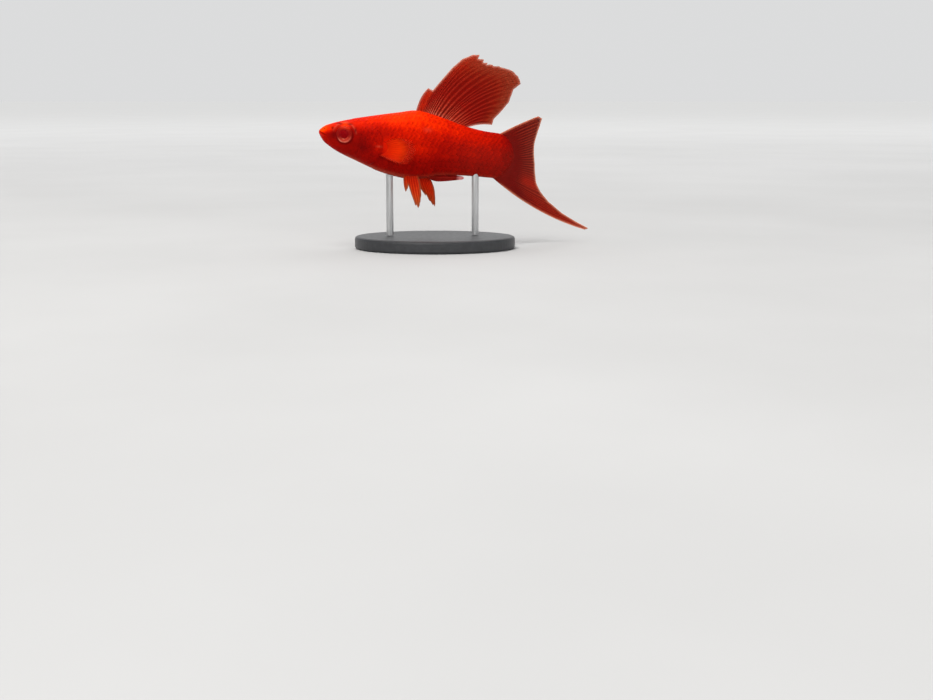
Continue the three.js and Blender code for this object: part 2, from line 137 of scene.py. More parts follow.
def between(x, low, high, soft):
    """1 from low to high, fading over soft outside them."""
    return smooth(low - soft, low, x) * (1 - smooth(high, high + soft, x))


def mouth_height(x):
    return -0.25 - 0.4 * x


def cheek_crease(z):
    """Place of the groove in front of the gill cover."""
    return 14.1 - 0.055 * (z + 1.2) ** 2


def body_surface(x, angle):
    """Plain surface of the body: angle 0 is the back and a quarter turn the +y flank."""
    up, side = np.cos(angle), np.sin(angle)
    nose = np.sqrt(1 - (1 - np.clip(x / NOSE_ROUNDING, 0, 1)) ** 2)
    tail_share = np.clip((x - BODY_LENGTH + TAIL_ROUNDING) / TAIL_ROUNDING, 0, 1)
    tail = np.sqrt(np.clip(1 - tail_share**2, 0, 1))
    top, bottom = back_line(x), belly_line(x)
    middle = np.where(tail_share > 0, TAIL_ARC_CENTRE, (top + bottom) / 2)
    top = middle + (top - middle) * nose * tail
    bottom = middle + (bottom - middle) * nose * tail
    widest = bottom + (top - bottom) * WIDEST_SHARE
    upper = widest + (top - widest) * np.abs(up) ** top_fullness(x)
    lower = widest - (widest - bottom) * np.abs(up) ** bottom_fullness(x)
    z = np.where(up > 0, upper, lower)
    flank = half_width(x) * nose * (0.3 + 0.7 * tail)
    return np.stack([x + 0 * angle, flank * side, z], -1)


def height_share(x, z):
    """0 on the belly line and 1 on the back line."""
    return np.clip((z - belly_line(x)) / (back_line(x) - belly_line(x)), 0, 1)


# Nostrils and the pores of the brow: place, half length, half height
HEAD_PITS = (
    ((2.0, 0.65), 0.2, 0.16),
    ((4.5, 1.25), 0.4, 0.26),
    ((6.7, 2.85), 0.72, 0.25),
    ((10.05, 3.1), 0.8, 0.3),
    ((12.0, 1.25), 0.28, 0.62),
)
BROW_RADIUS = 3.75  # of the ridge over the eye that the pores lie in


def pit_share(x, z, pit, spread=1.0):
    (pit_x, pit_z), long, high = pit
    return hump(np.hypot((x - pit_x) / long, (z - pit_z) / high), 0, spread)


# The relief functions give millimetres outwards at a place. The numbers in them are heights, places and
# half widths in millimetres. flank fades a form out towards the back and the belly.


def eye_relief(x, z, flank):
    """The skin's edge round the eye, with a brow over it."""
    from_eye = np.hypot(x - EYE_X, z - EYE_Z)
    hollow = -1.4 * (1 - smooth(EYE_OPENING - 0.18, EYE_OPENING, from_eye))
    lip = 0.15 * hump(from_eye, EYE_OPENING + 0.24, 0.22)
    groove = -0.1 * hump(from_eye, EYE_OPENING + 0.62, 0.22) * smooth(-1.5, 1.0, z)
    brow = 0.18 * hump(from_eye, BROW_RADIUS, 0.34) * smooth(-0.5, 1.4, z)
    return (hollow + lip + groove + brow) * flank


def mouth_relief(x, z):
    off = z - mouth_height(x)
    slit = -0.55 * hump(off, 0, 0.1) * (1 - smooth(1.7, 2.4, x)) * smooth(0.0, 0.5, x)
    lips = 0.15 * hump(np.abs(off), 0.42, 0.24) * (1 - smooth(2.0, 3.2, x)) * smooth(0.1, 0.9, x)
    corner = -0.1 * hump(x + 0.35 * z, 2.5, 0.3) * between(z, -2.6, -1.6, 0.7)
    return slit + lips + corner


def pit_relief(x, z):
    return -0.3 * sum(pit_share(x, z, pit) for pit in HEAD_PITS)


def gill_relief(x, z, side):
    """The cheek's creases, the raised gill cover with its slit, and the folds of the throat."""
    reach = np.abs(side)
    crease = hump(x, cheek_crease(z), 0.3) * between(z, -6.5, 0.8, 1.5)
    out = -0.12 * crease * smooth(0.2, 0.6, reach)
    out = out + 0.06 * hump(x, cheek_crease(z) - 0.8, 0.45) * between(z, -6, 0.5, 1.5)
    edge = gill_edge(z)
    rise = GILL_RISE * smooth(11.8, 18.5, x) * smooth(0, 1.8, 3.6 - z) * smooth(0.05, 0.5, reach)
    out = out + rise * (1 - smooth(-0.7, 0.12, x - edge))
    out = out - 0.08 * hump(x, edge + 0.2, 0.17) * between(z, -8.8, 2.3, 0.9)
    throat = between(x, 8, 12, 5) * (z < mouth_height(x))
    folds = hump(reach, 0.3, 0.07) + hump(reach, 0.46, 0.06)
    return out - 0.07 * throat * (folds + hump(reach, 0, 0.08))


def relief(x, z, side):
    """Fine forms of the head and flank, outwards in millimetres."""
    flank = smooth(0.35, 0.75, np.abs(side))
    fin_base = 0.16 * hump(x, 21.9, 1.3) * hump(z, -3.8, 2.0) * flank
    return (
        eye_relief(x, z, flank) + mouth_relief(x, z) + pit_relief(x, z) + gill_relief(x, z, side) + fin_base
    )


def skin_surface(x, angle, lift=0.0):
    """Surface with its fine forms, raised by lift, and the plain surface under each point."""
    x, angle = np.broadcast_arrays(np.asarray(x, float), np.asarray(angle, float))
    here = body_surface(x, angle)
    step = np.where(x < 0.5, 0.02, 0.1)
    ahead = body_surface(np.minimum(x + step, BODY_LENGTH), angle)
    behind = body_surface(np.maximum(x - step, 0), angle)
    round_it = body_surface(x, angle + 0.01) - body_surface(x, angle - 0.01)
    normal = np.cross(ahead - behind, round_it)
    normal /= np.maximum(np.linalg.norm(normal, axis=-1, keepdims=True), 1e-9)
    raised = relief(here[..., 0], here[..., 2], np.sin(angle)) + lift
    points = here + normal * raised[..., None]
    points[..., 0] = np.maximum(points[..., 0], 0.03)
    return points, here


def place(points):
    """Bends the straight fish sideways, tilts it, sets it over the stand and turns it to metres."""
    x, y, z = np.moveaxis(np.asarray(points, float), -1, 0)
    reach = BEND_PEAK - BEND_START
    share = np.clip((x - BEND_START) / reach, 0, 1)
    past = np.clip(x - BEND_PEAK, 0, None)
    change = (TIP_SLOPE - PEAK_SLOPE) / (BEND_TIP - BEND_PEAK)
    slope = PEAK_SLOPE * share**BEND_POWER + change * np.minimum(past, BEND_TIP - BEND_PEAK)
    offset = PEAK_SLOPE * reach * share ** (BEND_POWER + 1) / (BEND_POWER + 1)
    offset = offset + PEAK_SLOPE * past + change * past * past / 2
    turn = np.arctan(slope)
    bent_x, bent_y = x - y * np.sin(turn), offset + y * np.cos(turn)
    world_x = bent_x * math.cos(PITCH) + z * math.sin(PITCH) - BASE_UNDER_FISH
    world_z = z * math.cos(PITCH) - bent_x * math.sin(PITCH) + NOSE_HEIGHT
    return np.stack([world_x, bent_y, world_z], -1) / 1000


def outward(points, quads):
    """The quads of a closed mesh, turned round if they face inwards."""
    a, b, c = (points[quads[:, k]] for k in (0, 1, 2))
    a2, b2, c2 = (points[quads[:, k]] for k in (0, 2, 3))
    volume = (a * np.cross(b, c)).sum() + (a2 * np.cross(b2, c2)).sum()
    return quads if volume > 0 else quads[:, ::-1]


def add_object(name, data):
    thing = bpy.data.objects.new(name, data)
    bpy.context.scene.collection.objects.link(thing)
    return thing


def make_piece(name, points, faces, material, replaced=(), marks=None, uv=None):
    """A mesh on body root. marks are named values per point, uv one pair per face corner."""
    mesh = bpy.data.meshes.new(name)
    flat = np.concatenate([np.asarray(f, np.int32).ravel() for f in faces])
    sizes = np.concatenate([np.full(len(f), f.shape[1], np.int32) for f in faces])
    points = np.asarray(points, np.float32).reshape(-1, 3)
    mesh.vertices.add(len(points))
    mesh.vertices.foreach_set("co", points.ravel())
    mesh.loops.add(len(flat))
    mesh.loops.foreach_set("vertex_index", flat)
    mesh.polygons.add(len(sizes))
    starts = np.concatenate([[0], np.cumsum(sizes)[:-1]]).astype(np.int32)
    mesh.polygons.foreach_set("loop_start", starts)
    mesh.polygons.foreach_set("use_smooth", np.ones(len(sizes), bool))
    mesh.update(calc_edges=True)
    for mark, values in (marks or {}).items():
        layer = mesh.attributes.new(mark, "FLOAT", "POINT")
        layer.data.foreach_set("value", np.asarray(values, np.float32).ravel())
    if uv is not None:
        layer = mesh.uv_layers.new(name="OFBake")
        layer.data.foreach_set("uv", np.asarray(uv, np.float32).ravel())
    mesh.validate()
    mesh.materials.append(material)
    piece = add_object(name, mesh)
    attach(piece, "root")
    if replaced:
        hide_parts(*replaced)
    return piece


def grid_faces(rows, columns, closed=False):
    """Quads over a grid of points stored row by row."""
    wide = columns if closed else columns - 1
    r, c = np.meshgrid(np.arange(rows - 1), np.arange(wide), indexing="ij")
    r, c = r.ravel(), c.ravel()
    after = (c + 1) % columns
    corners = [r * columns + c, r * columns + after, (r + 1) * columns + after, (r + 1) * columns + c]
    return np.stack(corners, 1)


def grid_edge(rows, columns):
    """Points round the edge of such a grid, in order."""
    return np.concatenate(
        [
            np.arange(columns - 1),
            np.arange(rows - 1) * columns + columns - 1,
            (rows - 1) * columns + np.arange(columns - 1, 0, -1),
            np.arange(rows - 1, 0, -1) * columns,
        ]
    )


def plate_faces(rows, columns):
    """Quads of a closed plate: a grid, a second grid under it, and walls round their edge."""
    count = rows * columns
    edge = grid_edge(rows, columns)
    after = np.roll(edge, -1)
    walls = np.stack([edge, edge + count, after + count, after], 1)
    return np.concatenate([grid_faces(rows, columns), grid_faces(rows, columns)[:, ::-1] + count, walls])


def twice(values):
    """One value per point of a plate's upper grid, repeated for its lower one."""
    return np.concatenate([values.ravel()] * 2)


# Materials


class Nodes:
    """Short hand for building one material's nodes."""

    def __init__(self, name):
        self.material = bpy.data.materials.new(name)
        self.material.use_nodes = True
        self.tree = self.material.node_tree
        self.shader = self.tree.nodes["Principled BSDF"]

    def link(self, source, target):
        self.tree.links.new(source, target)

    def mark(self, name):
        node = self.tree.nodes.new("ShaderNodeAttribute")
        node.attribute_name = name
        return node.outputs["Fac"]

    def math(self, operation, a, b=0.0, c=0.0, clamp=False):
        node = self.tree.nodes.new("ShaderNodeMath")
        node.operation, node.use_clamp = operation, clamp
        for socket, value in zip(node.inputs, (a, b, c)):
            self.give(socket, value)
        return node.outputs[0]

    def give(self, socket, value):
        """A number, a colour or another node's output for a socket."""
        if isinstance(value, tuple):
            socket.default_value = (*value, 1)
        elif isinstance(value, (int, float)):
            socket.default_value = value
        else:
            self.link(value, socket)

    def swing(self, value, amount):
        """A noise between 0 and 1 turned to one round 0 of the given size."""
        return self.math("MULTIPLY", self.math("SUBTRACT", value, 0.5), amount)

    def noise(self, scale, detail=3.0, stretch=(1, 1, 1), distortion=0.0):
        coordinates = self.tree.nodes.new("ShaderNodeTexCoord")
        mapping = self.tree.nodes.new("ShaderNodeMapping")
        mapping.inputs["Scale"].default_value = stretch
        node = self.tree.nodes.new("ShaderNodeTexNoise")
        node.inputs["Scale"].default_value = scale
        node.inputs["Detail"].default_value = detail
        node.inputs["Distortion"].default_value = distortion
        self.link(coordinates.outputs["Object"], mapping.inputs["Vector"])
        self.link(mapping.outputs["Vector"], node.inputs["Vector"])
        return node.outputs["Fac"]

    def ramp(self, value, rows):
        """Colour of a value from rows of a place and a colour or a grey."""
        node = self.tree.nodes.new("ShaderNodeValToRGB")
        elements = node.color_ramp.elements
        while len(elements) < len(rows):
            elements.new(0.5)
        for element, (at, colour) in zip(elements, rows):
            element.position = at
            if isinstance(colour, (int, float)):
                colour = (colour,) * 3
            element.color = (*colour, 1)
        self.link(value, node.inputs["Fac"])
        return node.outputs["Color"]

    def mix(self, share, a, b):
        node = self.tree.nodes.new("ShaderNodeMix")
        node.data_type = "RGBA"
        # Its sockets for colours are the seventh and eighth in, and the third out
        for index, value in ((0, share), (6, a), (7, b)):
            self.give(node.inputs[index], value)
        return node.outputs[2]

    def bump(self, height, strength, distance):
        node = self.tree.nodes.new("ShaderNodeBump")
        node.inputs["Strength"].default_value = strength
        node.inputs["Distance"].default_value = distance
        self.link(height, node.inputs["Height"])
        self.link(node.outputs["Normal"], self.shader.inputs["Normal"])

    def set(self, **values):
        for name, value in values.items():
            self.give(self.shader.inputs[name.replace("_", " ")], value)


def screen(red, green, blue):
    """Linear colour from 0 to 255 screen values."""
    return tuple(
        c / 12.92 if c <= 0.04045 else ((c + 0.055) / 1.055) ** 2.4
        for c in (red / 255, green / 255, blue / 255)
    )


def stops(*rows):
    """Colour stops from rows of a place from 0 to 1 and a screen colour."""
    return [(at, screen(*colour)) for at, *colour in rows]


WARM = (1.0, 0.3, 0.12)  # tint of the sheen on skin and fins
# MAROON colours the dark marks, mostly painted shade, and BLUSH the pale ones, partly painted highlights
MAROON, BLUSH = screen(64, 2, 8), screen(200, 90, 66)  # of the skin's dark and pale marks
REDS = stops(
    (0, 74, 5, 8), (0.15, 112, 7, 6), (0.35, 152, 9, 5),
    (0.6, 203, 22, 2), (0.8, 240, 43, 1), (1, 255, 66, 2),
)

# Tone of the red along the body, 0 is maroon and 1 orange: rows of x and tone. The orange back and maroon
# belly are partly the fish's own red and partly painted top light
BACK_TONE = (
    (0, 0.9), (6, 0.62), (12, 0.64), (24, 0.85), (31, 0.81), (43, 0.63), (58, 0.46), (61, 0.34), (63, 0.26),
)
BELLY_TONE = ((0, 0.55), (4, 0.38), (9, 0.3), (30, 0.3), (56, 0.26), (63, 0.16))
# Rows of x and the share of the body's height where the back's tone begins
BACK_FROM = ((0, 0.6), (10, 0.75), (28, 0.78), (36, 0.72), (60, 0.66))

# Patches on the flank: x, z, half length, half height and strength
BRIGHT_PATCH = (24.5, -2.2, 3.4, 2.4, 0.3)  # behind the gill cover, under the pectoral fin
DIM_PATCH = (15.0, -2.5, 3.0, 3.0, 0.1)  # on the cheek
DARK_PATCHES = (
    (5.2, -0.4, 1.0, 1.7, 0.58),  # in front of the eye
    (15.3, -3.6, 1.7, 1.8, 0.4),  # on the cheek
    (21.2, -6.0, 1.1, 0.9, 0.5),  # painted shade under the pectoral fin's root
)
PAINTED_HIGHLIGHTS = (
    (20.2, -2.6, 0.9, 0.2, 0.8),  # a painted highlight streak at the gill cover's edge
    (34.6, 4.3, 1.2, 0.7, 0.3),  # a painted highlight under the back fin
)


def patch(x, z, place):
    at_x, at_z, long, high, strength = place
    return strength * hump(x, at_x, long) * hump(z, at_z, high)


def over_eye(x, z):
    """The bright stretch of skin over the middle of the eye."""
    return hump(x, EYE_X - 0.1, 1.5) * between(z, EYE_Z + 2.2, EYE_Z + 3.6, 0.8)


def body_tone_and_top_light(x, z):
    """How bright the red is at a place on the body, with painted top light: the back lighter and the belly
    darker.
    """
    h = height_share(x, z)
    back = np.interp(x, *zip(*BACK_TONE))
    flank = 0.37 + 0.2 * hump(x, 30, 8) - 0.12 * hump(x, 8.5, 5) - 0.14 * smooth(57, 63, x)
    belly = np.interp(x, *zip(*BELLY_TONE))
    back_from = np.interp(x, *zip(*BACK_FROM))
    snout = (1 - smooth(1.0, 3.4, x)) * smooth(-2.4, 0.6, z)
    nape = hump(x, 19, 4) * hump(h, 0.82, 0.1)
    rounding = np.hypot(np.clip((x - 56) / 7.3, 0, 1), (z + 1.5) / 7.6)
    tail_end = smooth(0.75, 1.0, rounding) * smooth(55, 59, x)
    # From belly to flank to back: partly the fish's own red, partly painted top light
    tone = belly + (flank - belly) * smooth(0.2, 0.52, h)
    tone = tone + (back - flank) * smooth(back_from - 0.13, back_from + 0.15, h)
    tone += 0.45 * snout + 0.25 * over_eye(x, z) + patch(x, z, BRIGHT_PATCH)
    tone -= 0.12 * nape + 0.05 * tail_end + patch(x, z, DIM_PATCH)
    return np.clip(tone, 0, 1)


def body_marks_shade_and_highlights(x, z):
    """Painted shade round the eye and in pores, mouth, gill slit and cheek crease; pale painted highlight
    on the brow, pale belly edge.
    """
    h = height_share(x, z)
    from_eye = np.hypot(x - EYE_X, z - EYE_Z)
    # Painted shade at the eye's rim and in the groove over it
    lid = 0.6 * hump(from_eye, EYE_OPENING + 0.15, 0.3)
    fold = 0.45 * hump(from_eye, EYE_OPENING + 0.6, 0.3) * smooth(-1.0, 1.5, z)
    # Painted shade in the mouth, the gill slit, the cheek's crease, the nostrils and the pores
    mouth = 0.7 * hump(z - mouth_height(x), 0, 0.13) * (1 - smooth(2.0, 2.6, x))
    gill = 0.3 * hump(x, gill_edge(z) + 0.25, 0.2) * between(z, -8.4, 2.0, 1.0)
    cheek = 0.2 * hump(x, cheek_crease(z), 0.35) * between(z, -5, 0, 2)
    pits = [0.8 * pit_share(x, z, pit, 1.4) for pit in HEAD_PITS]
    patches = [patch(x, z, place) for place in DARK_PATCHES]
    dark = np.maximum(lid, fold) * (1 - 0.9 * over_eye(x, z))
    dark = np.maximum.reduce([dark, mouth, gill, cheek, *pits, *patches])
    rim = hump(h, 0.02, 0.035) * (0.3 + 0.5 * between(x, 11, 28, 4)) * between(x, 11, 57, 4)
    # A painted highlight along the brow over the eye
    brow = 0.55 * hump(from_eye, BROW_RADIUS, 0.28) * between(z, 1.0, 5, 1.2) * (1 - dark)
    rear = 0.07 * smooth(38, 52, x) * (1 - smooth(0.5, 0.85, h))
    pale = np.maximum.reduce([rim, brow, rear, *(patch(x, z, place) for place in PAINTED_HIGHLIGHTS)])
    return dark, pale


def skin_material(name, scaly):
    """Mottled red by the tone mark, which holds painted top light, with dark marks, mostly painted shade,
    and pale marks, partly painted highlights.
    """
    n = Nodes(name)
    mottle = n.noise(900, 4, distortion=0.6)
    fine = n.noise(4200, 3)
    tone = n.math("ADD", n.mark("tone"), n.swing(mottle, 0.16))
    tone = n.math("ADD", tone, n.swing(n.noise(330, 2, distortion=1.2), 0.16))
    tone = n.math("ADD", tone, n.swing(fine, 0.1))
    if scaly:
        # Each scale's own grain, a painted highlight along its rim and a painted shadow behind the scale
        # ahead
        for mark, amount in (("grain", 0.02), ("rim", 0.05), ("scale_shadow", -0.13)):
            tone = n.math("ADD", tone, n.math("MULTIPLY", n.mark(mark), amount))
    colour = n.ramp(tone, REDS)
    colour = n.mix(n.math("MULTIPLY", n.mark("dark"), 0.9), colour, MAROON)
    colour = n.mix(n.math("MULTIPLY", n.mark("pale"), 0.6), colour, BLUSH)
    rough = n.math("MULTIPLY_ADD", fine, 0.2, 0.38)
    n.set(Base_Color=colour, Roughness=rough, Specular_IOR_Level=0.035, Specular_Tint=WARM)
    n.bump(n.math("ADD", fine, n.math("MULTIPLY", mottle, 0.6)), 0.3, 0.00005)
    return n.material


# Skin


def skin_stations():
    """Places of the skin's rings, closest on the head and at both ends."""
    nose = NOSE_ROUNDING * (1 - np.cos(np.linspace(0.07, math.pi / 2, 26)))
    head = np.arange(nose[-1] + 0.12, 22.5, 0.12)
    flank = np.arange(head[-1] + 0.3, BODY_LENGTH - TAIL_ROUNDING, 0.3)
    tail = BODY_LENGTH - TAIL_ROUNDING * (1 - np.sin(np.linspace(0.02, math.pi / 2 - 0.03, 40)))
    return np.concatenate([nose, head, flank, tail])


def make_skin(material):
    around = 176
    x = skin_stations()
    count = len(x)
    angle = np.arange(around) / around * 2 * math.pi
    points, here = skin_surface(x[:, None], angle[None, :], -0.03)
    dark, pale = body_marks_shade_and_highlights(here[..., 0], here[..., 2])
    tone = body_tone_and_top_light(here[..., 0], here[..., 2])
    nose_tip = np.array([[0.02, 0, (back_line(0) + belly_line(0)) / 2]])
    tail_tip = np.array([[BODY_LENGTH - 0.02, 0, TAIL_ARC_CENTRE]])
    points = np.concatenate([points.reshape(-1, 3), nose_tip, tail_tip])
    marks = {
        "tone": np.append(tone, [0.8, 0.1]),
        "dark": np.append(dark, [0, 0]),
        "pale": np.append(pale, [0, 0]),
    }
    ring = np.arange(around)
    after = (ring + 1) % around
    last = (count - 1) * around
    quads = grid_faces(count, around, closed=True)[:, ::-1]
    nose_fan = np.stack([after, ring, np.full(around, count * around)], 1)[:, ::-1]
    tail_fan = np.stack([last + ring, last + after, np.full(around, count * around + 1)], 1)[:, ::-1]
    faces = [quads, nose_fan, tail_fan]
    replaced = ("head", "trunk", "tail")
    return make_piece("skin", place(points), faces, material, replaced, marks)


# Scales


def scale_places():
    """Root of each scale: staggered rows from the nape and the gill cover's edge to the tail base."""
    roots = []
    for column, x in enumerate(np.arange(SCALES_FROM, SCALES_TO, SCALE_PITCH / 2)):
        for row in range(column % 2, 2 * SCALE_ROWS, 2):
            angle = (row + 0.5) / SCALE_ROWS * math.pi
            z = body_surface(x, np.array(angle))[2]
            edge = gill_edge(z)
            on_flank = x > edge + 0.2
            on_nape = math.cos(angle) > 0.45 and x > 8.2 + 7.5 * (1 - math.cos(angle))
            on_gill = 13.2 < x < edge - 1.7 and abs(math.sin(angle)) > 0.55 and z < 2.5
            if on_flank or on_nape or on_gill:
                roots.append((x, angle, on_gill and not on_flank))
    return roots


def scale_shape(x0, angle0, on_gill, rng):
    """One scale's upper and lower grids, its marks, and where each point lies on the body."""
    along = np.linspace(0, 1, SCALE_STEPS)[:, None]
    across = np.linspace(-1, 1, SCALE_STEPS)[None, :]
    size = 1 + SCALE_VARIETY * rng.standard_normal()
    skew = SCALE_VARIETY * rng.standard_normal()
    length = SCALE_PITCH * SCALE_LENGTH * size * (0.9 if on_gill else 1)
    width = math.pi / SCALE_ROWS * SCALE_WIDTH * size
    hind = 1 - 0.42 * np.abs(across) ** 2.1
    x = np.minimum(x0 + length * along * hind + skew * along, BODY_LENGTH - 0.4)
    angle = angle0 + width * across * (0.8 + 0.26 * np.sin(math.pi * along) ** 0.8) + 0 * x
    height = -0.07 + 0.17 * along**1.1 - 0.06 * across**2
    if on_gill:
        height = -0.03 + 0.06 * along - 0.03 * across**2
    height = height * np.clip((BODY_LENGTH - x) / 6, 0.15, 1)
    upper, here = skin_surface(x, angle, height)
    lower, _ = skin_surface(x, angle, height - SCALE_THICKNESS)
    # A painted highlight along the scale's hind edge and sides
    rim = np.clip(1.2 * along**3 * hind + 0.4 * np.abs(across) ** 3, 0, 1)
    on_upper_flank = smooth(0.35, 0.6, height_share(here[..., 0], here[..., 2]))
    # A painted shadow just behind the hind edge of the scale ahead, on the upper flank
    scale_shadow = hump(along, 0.56, 0.14) * hump(across, 0, 0.5) * on_upper_flank
    grain = np.full_like(x, rng.standard_normal())
    return upper, lower, here, {"rim": rim, "scale_shadow": scale_shadow, "grain": grain}


MAP_PATCH = 0.003  # size of one scale on the bake map
MAP_SHARE, MAP_START = 0.98, 0.005  # of the map that the scales' roots are spread over


def scale_patches(roots, faces, each):
    """Bake map: each scale is a patch at its root's place on the skin's own unwrap."""
    origin = np.array([[x / BODY_LENGTH, angle / (2 * math.pi)] for x, angle, _ in roots])
    origin = origin * MAP_SHARE + MAP_START
    steps = np.linspace(0, 1, SCALE_STEPS)
    along, across = np.meshgrid(steps, steps, indexing="ij")
    upper = np.stack([along.ravel(), across.ravel()], 1) * MAP_PATCH
    local = np.concatenate([upper, upper + (1.15 * MAP_PATCH, 0)])
    corners = np.array(faces)
    wall_start = 2 * (SCALE_STEPS - 1) ** 2
    corners[wall_start:] %= each
    return (origin[:, None, :] + local[corners.ravel()][None]).reshape(-1, 2)


def make_scales(material):
    """Overlapping plates, each rooted in the skin and lifted at its hind edge."""
    rng = np.random.default_rng(7)
    each = SCALE_STEPS**2
    faces = plate_faces(SCALE_STEPS, SCALE_STEPS)
    made = [(root, scale_shape(*root, rng)) for root in scale_places()]
    for side, word in SIDES:
        own = [(root, shape) for root, shape in made if math.sin(root[1]) * side > 0]
        count = len(own)
        points = np.array([[shape[0], shape[1]] for _, shape in own]).reshape(-1, 3)
        here = np.array([[shape[2], shape[2]] for _, shape in own]).reshape(-1, 3)
        dark, pale = body_marks_shade_and_highlights(here[:, 0], here[:, 2])
        marks = {"tone": body_tone_and_top_light(here[:, 0], here[:, 2]), "dark": dark, "pale": pale}
        for key in ("rim", "scale_shadow", "grain"):
            marks[key] = np.array([[shape[3][key]] * 2 for _, shape in own])
        all_faces = (faces[None] + (np.arange(count) * 2 * each)[:, None, None]).reshape(-1, 4)
        uv = scale_patches([root for root, _ in own], faces, each)
        make_piece("scales_" + word, place(points), [all_faces], material, (), marks, uv)


# Eyes


# Colours out from the pupil, in the eye's lower crescent and above it. Both are partly the iris's own
# colour; the crescent's pale arcs are a painted highlight and the darker top painted shade of the brow
EYE_BELOW_WITH_HIGHLIGHT = stops(
    (0, 128, 0, 8), (0.39, 134, 2, 8), (0.445, 158, 22, 16), (0.49, 214, 74, 56),
    (0.57, 192, 48, 34), (0.72, 206, 70, 52), (0.83, 226, 94, 76), (0.93, 138, 20, 14),
)
EYE_ABOVE_IN_SHADE = stops(
    (0, 128, 0, 8), (0.44, 128, 2, 10), (0.6, 131, 9, 13),
    (0.66, 140, 17, 14), (0.84, 136, 17, 12), (0.94, 142, 16, 10),
)
# Glints: how far out, half width, turn from the front downwards, half its length, and strength
GLINTS = ((0.84, 0.06, 1.08, 0.32, 0.95), (0.82, 0.06, 1.8, 0.35, 0.5), (0.5, 0.045, 1.5, 0.25, 0.85))


def eye_material():
    n = Nodes("eye")
    radial = n.mark("radial")
    streaks = n.noise(2600, 4, distortion=1.5)
    # The crescent below holds a painted highlight, the darker part above painted shade of the brow
    below, above = n.ramp(radial, EYE_BELOW_WITH_HIGHLIGHT), n.ramp(radial, EYE_ABOVE_IN_SHADE)
    colour = n.mix(n.mark("low"), above, below)
    colour = n.mix(n.mark("lid"), colour, screen(216, 48, 16))
    colour = n.mix(n.mark("glint"), colour, screen(250, 138, 112))
    colour = n.mix(n.math("MULTIPLY", streaks, 0.2), colour, screen(120, 16, 14))
    n.set(Base_Color=colour, Roughness=0.3, Specular_IOR_Level=0.05, Specular_Tint=WARM)
    n.set(Coat_Weight=0.03, Coat_Roughness=0.08)
    n.bump(streaks, 0.15, 0.00003)
    return n.material


def make_eye(side, word, material):
    """An eyeball whose pupil bulges a little out of the iris."""
    rings, around = 48, 80
    polar = np.linspace(0, 0.6 * math.pi, rings)[:, None]
    angle = np.arange(around)[None, :] / around * 2 * math.pi
    radius = EYE_RADIUS * np.sin(polar)
    share = np.where(polar < math.pi / 2, radius / EYE_RADIUS, 1)
    bulge = 0.12 * (1 - smooth(0.3, 0.5, share)) - 0.05 * hump(share, 0.52, 0.05)
    depth = EYE_DEPTH * np.cos(polar) + bulge + 0.03 * hump(share, 0.8, 0.08)
    local = np.stack([radius * np.cos(angle), side * depth + 0 * angle, radius * np.sin(angle)], -1)
    x, y, z = local.reshape(-1, 3).T
    tip = -EYE_DOWN * side
    turn = side * math.atan((half_width(EYE_X + 2) - half_width(EYE_X - 2)) / 4)
    y, z = y * math.cos(tip) - z * math.sin(tip), y * math.sin(tip) + z * math.cos(tip)
    x, y = x * math.cos(turn) - y * math.sin(turn), x * math.sin(turn) + y * math.cos(turn)
    points = np.stack([x + EYE_X, y + side * (half_width(EYE_X) - EYE_SINK), z + EYE_Z], 1)
    # Share of the lower crescent, with its painted highlight, against the painted brow shade above
    low = smooth(0.05, 1.05, 0.25 * np.cos(angle) - np.sin(angle)) + 0 * radius
    lid = 0.7 * smooth(0.6, 1.0, np.sin(angle)) * smooth(0.6, 0.95, share)
    off_x = local[..., 0] - PUPIL_SHIFT * (1 - share**2)
    off_z = local[..., 2] - PUPIL_LIFT * (1 - share**2)
    radial = np.hypot(off_x, off_z) / EYE_RADIUS
    round_eye = np.arctan2(-off_z, -off_x)
    glints = [
        strength * hump(radial, out, wide) * hump(round_eye, at, long)
        for out, wide, at, long, strength in GLINTS
    ]
    glint = np.maximum.reduce(glints)
    marks = {"radial": radial, "low": low, "lid": lid, "glint": glint}
    quads = outward(points, grid_faces(rings, around, closed=True))
    make_piece("eyeball_" + word, place(points), [quads], material, ("eye_" + word,), marks)


# Fins


def fin_material(name, film, ray, edge, band, alpha, fade=0.0, streaky=1.0):
    """film and ray are stops from root to margin, edge and band colours, alpha stops of their own.

    fade is how far the skin thins at its edge, and streaky how much dark the streaks hold.
    """
    n = Nodes(name)
    out = n.mark("out")
    streak = n.noise(1500, 4, (0.4, 1, 1), 0.4)
    fine = n.noise(6000, 3)
    joints = n.math("MULTIPLY_ADD", n.math("SINE", n.math("MULTIPLY", out, 190)), 0.1, 0.88)
    share = n.math("MULTIPLY", n.mark("ray"), joints, clamp=True)
    colour = n.mix(share, n.ramp(out, film), n.ramp(out, ray))
    colour = n.mix(n.mark("band"), colour, band)
    blotch = n.math("MULTIPLY", n.ramp(streak, [(0.35, 0.3), (0.62, 0.0)]), streaky)
    colour = n.mix(blotch, colour, screen(60, 8, 8))
    colour = n.mix(n.math("MULTIPLY", n.mark("margin"), 0.8), colour, edge)
    thin = n.ramp(out, alpha)
    seen = n.math("MULTIPLY_ADD", n.math("MULTIPLY", n.mark("ray"), thin), 0.3, thin, clamp=True)
    seen = n.math("MULTIPLY", seen, n.math("MULTIPLY_ADD", n.mark("margin"), -fade, 1.0))
    rough = n.math("MULTIPLY_ADD", fine, 0.2, 0.36)
    n.set(Base_Color=colour, Alpha=seen, Roughness=rough)
    n.set(Specular_IOR_Level=0.12, Specular_Tint=WARM)
    n.set(Subsurface_Weight=0.4, Subsurface_Scale=0.0007)
    n.shader.inputs["Subsurface Radius"].default_value = (1.0, 0.4, 0.3)
    n.bump(n.math("ADD", fine, n.math("MULTIPLY", streak, 0.5)), 0.3, 0.00005)
    return n.material


